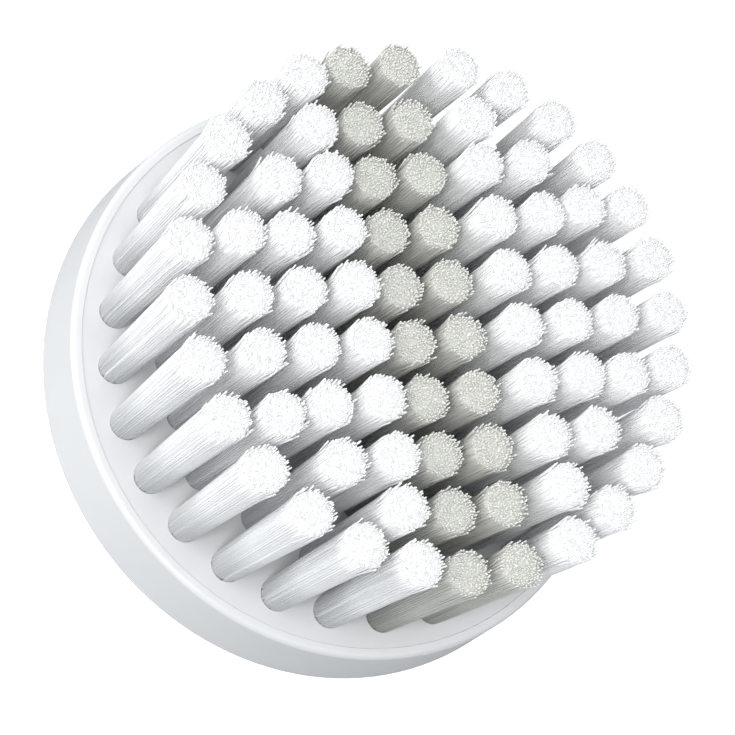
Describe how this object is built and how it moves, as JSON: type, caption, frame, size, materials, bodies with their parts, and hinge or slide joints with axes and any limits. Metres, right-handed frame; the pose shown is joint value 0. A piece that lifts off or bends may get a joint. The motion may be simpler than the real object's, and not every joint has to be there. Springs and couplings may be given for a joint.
{
  "type": "facial cleansing brush head",
  "caption": "Round rotary brush head for facial cleansing: glossy casing, flat face of upright soft tufts with a grey stripe, keyed drive socket beneath.",
  "frame": {"origin": "centre of the casing's foot, on the axis the head turns about", "axes": "+Z along the turning axis towards the tuft tips, +Y along the stripe of grey tufts"},
  "size_m": [0.0428, 0.0428, 0.0203],
  "materials": {
    "casing_white": "polished white ABS",
    "plate_white": "satin-gloss white ABS",
    "cover_white": "finely textured white ABS",
    "hub_grey": "satin light grey acetal",
    "spring_steel": "drawn stainless spring wire",
    "anchor_brass": "bright rolled strip",
    "white_bristle": "soft translucent white nylon filaments",
    "grey_bristle": "soft warm grey nylon filaments"
  },
  "bodies": {
    "root": {"casing_ring": "casing_white", "tuft_plate": "plate_white", "drive_hub": "hub_grey", "retaining_clip": "spring_steel", "back_cover": "cover_white", "tufts_column_1": "white_bristle", "tufts_column_2": "white_bristle", "tufts_column_3": "white_bristle", "tufts_column_4": "grey_bristle", "tufts_column_5": "grey_bristle", "tufts_column_6": "white_bristle", "tufts_column_7": "white_bristle", "tufts_column_8": "white_bristle", "tufts_ring_white_1": "white_bristle", "tufts_ring_white_2": "white_bristle", "tufts_ring_white_3": "white_bristle", "tufts_ring_white_4": "white_bristle", "tufts_ring_grey_1": "grey_bristle", "tufts_ring_grey_2": "grey_bristle", "anchors_column_1": "anchor_brass", "anchors_column_2": "anchor_brass", "anchors_column_3": "anchor_brass", "anchors_column_4": "anchor_brass", "anchors_column_5": "anchor_brass", "anchors_column_6": "anchor_brass", "anchors_column_7": "anchor_brass", "anchors_column_8": "anchor_brass", "anchors_ring_white_1": "anchor_brass", "anchors_ring_white_2": "anchor_brass", "anchors_ring_white_3": "anchor_brass", "anchors_ring_white_4": "anchor_brass", "anchors_ring_grey_1": "anchor_brass", "anchors_ring_grey_2": "anchor_brass"}
  },
  "joints": []
}
